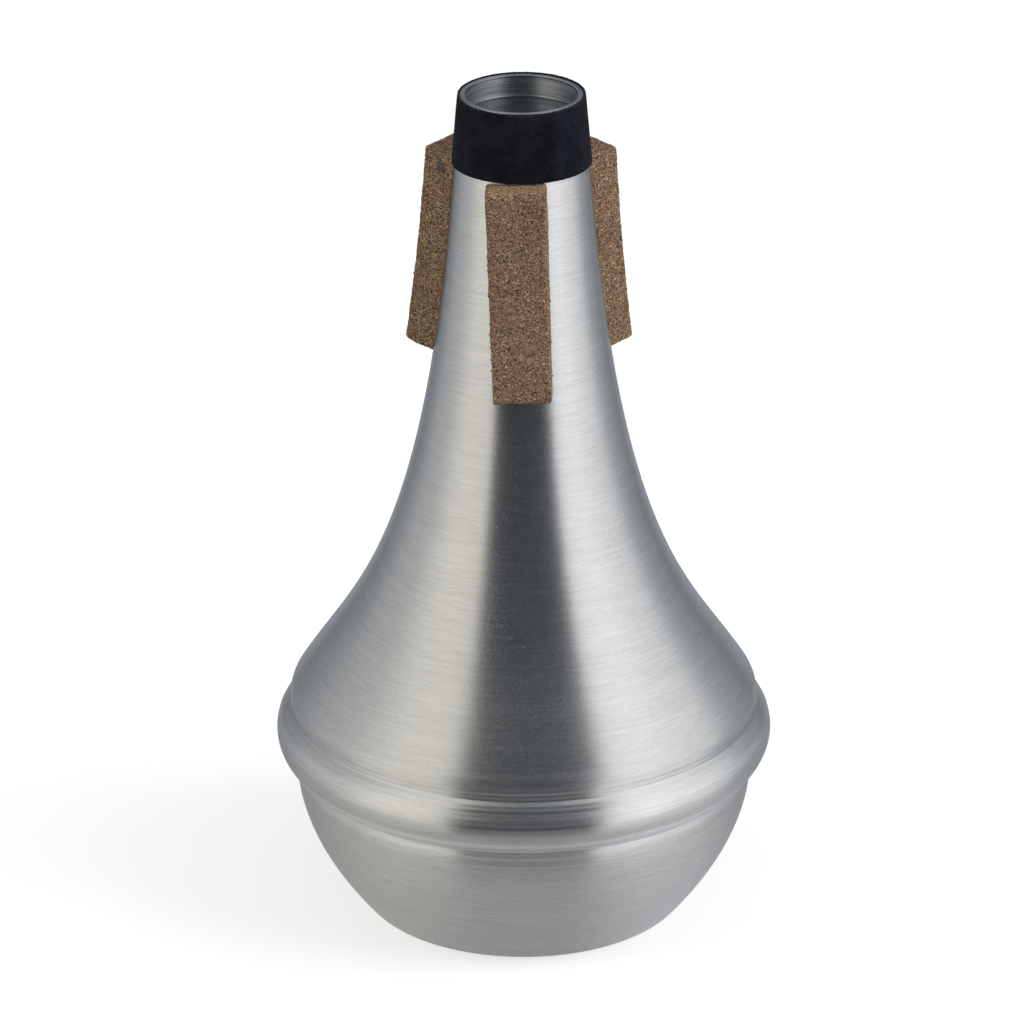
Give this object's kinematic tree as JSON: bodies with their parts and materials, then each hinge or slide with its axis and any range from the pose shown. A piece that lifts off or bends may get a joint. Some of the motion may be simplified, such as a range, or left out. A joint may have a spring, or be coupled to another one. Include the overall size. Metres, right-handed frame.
{
  "type": "trumpet straight mute",
  "caption": "Hollow spun-metal straight mute: flared cone with a collared neck and cork strips, locked by a rolled bead to a closed round bowl with a flat foot.",
  "frame": {"origin": "centre of the flat foot, on the surface that the mute stands on", "axes": "+Z along the mute's axis from the foot to the open mouth, -Y to the front cork pad"},
  "size_m": [0.105, 0.105, 0.1797],
  "materials": {
    "aluminium": "spun, with fine turning lines round the axis, satin to bright",
    "rubber": "matt, thin dipped or shrunk sleeve",
    "cork": "composition cork, cut, unsealed"
  },
  "bodies": {
    "root": {"cone_shell": "aluminium", "bowl_shell": "aluminium", "neck_sleeve": "rubber", "cork_pad_front": "cork", "cork_pad_right": "cork", "cork_pad_left": "cork"}
  },
  "joints": []
}
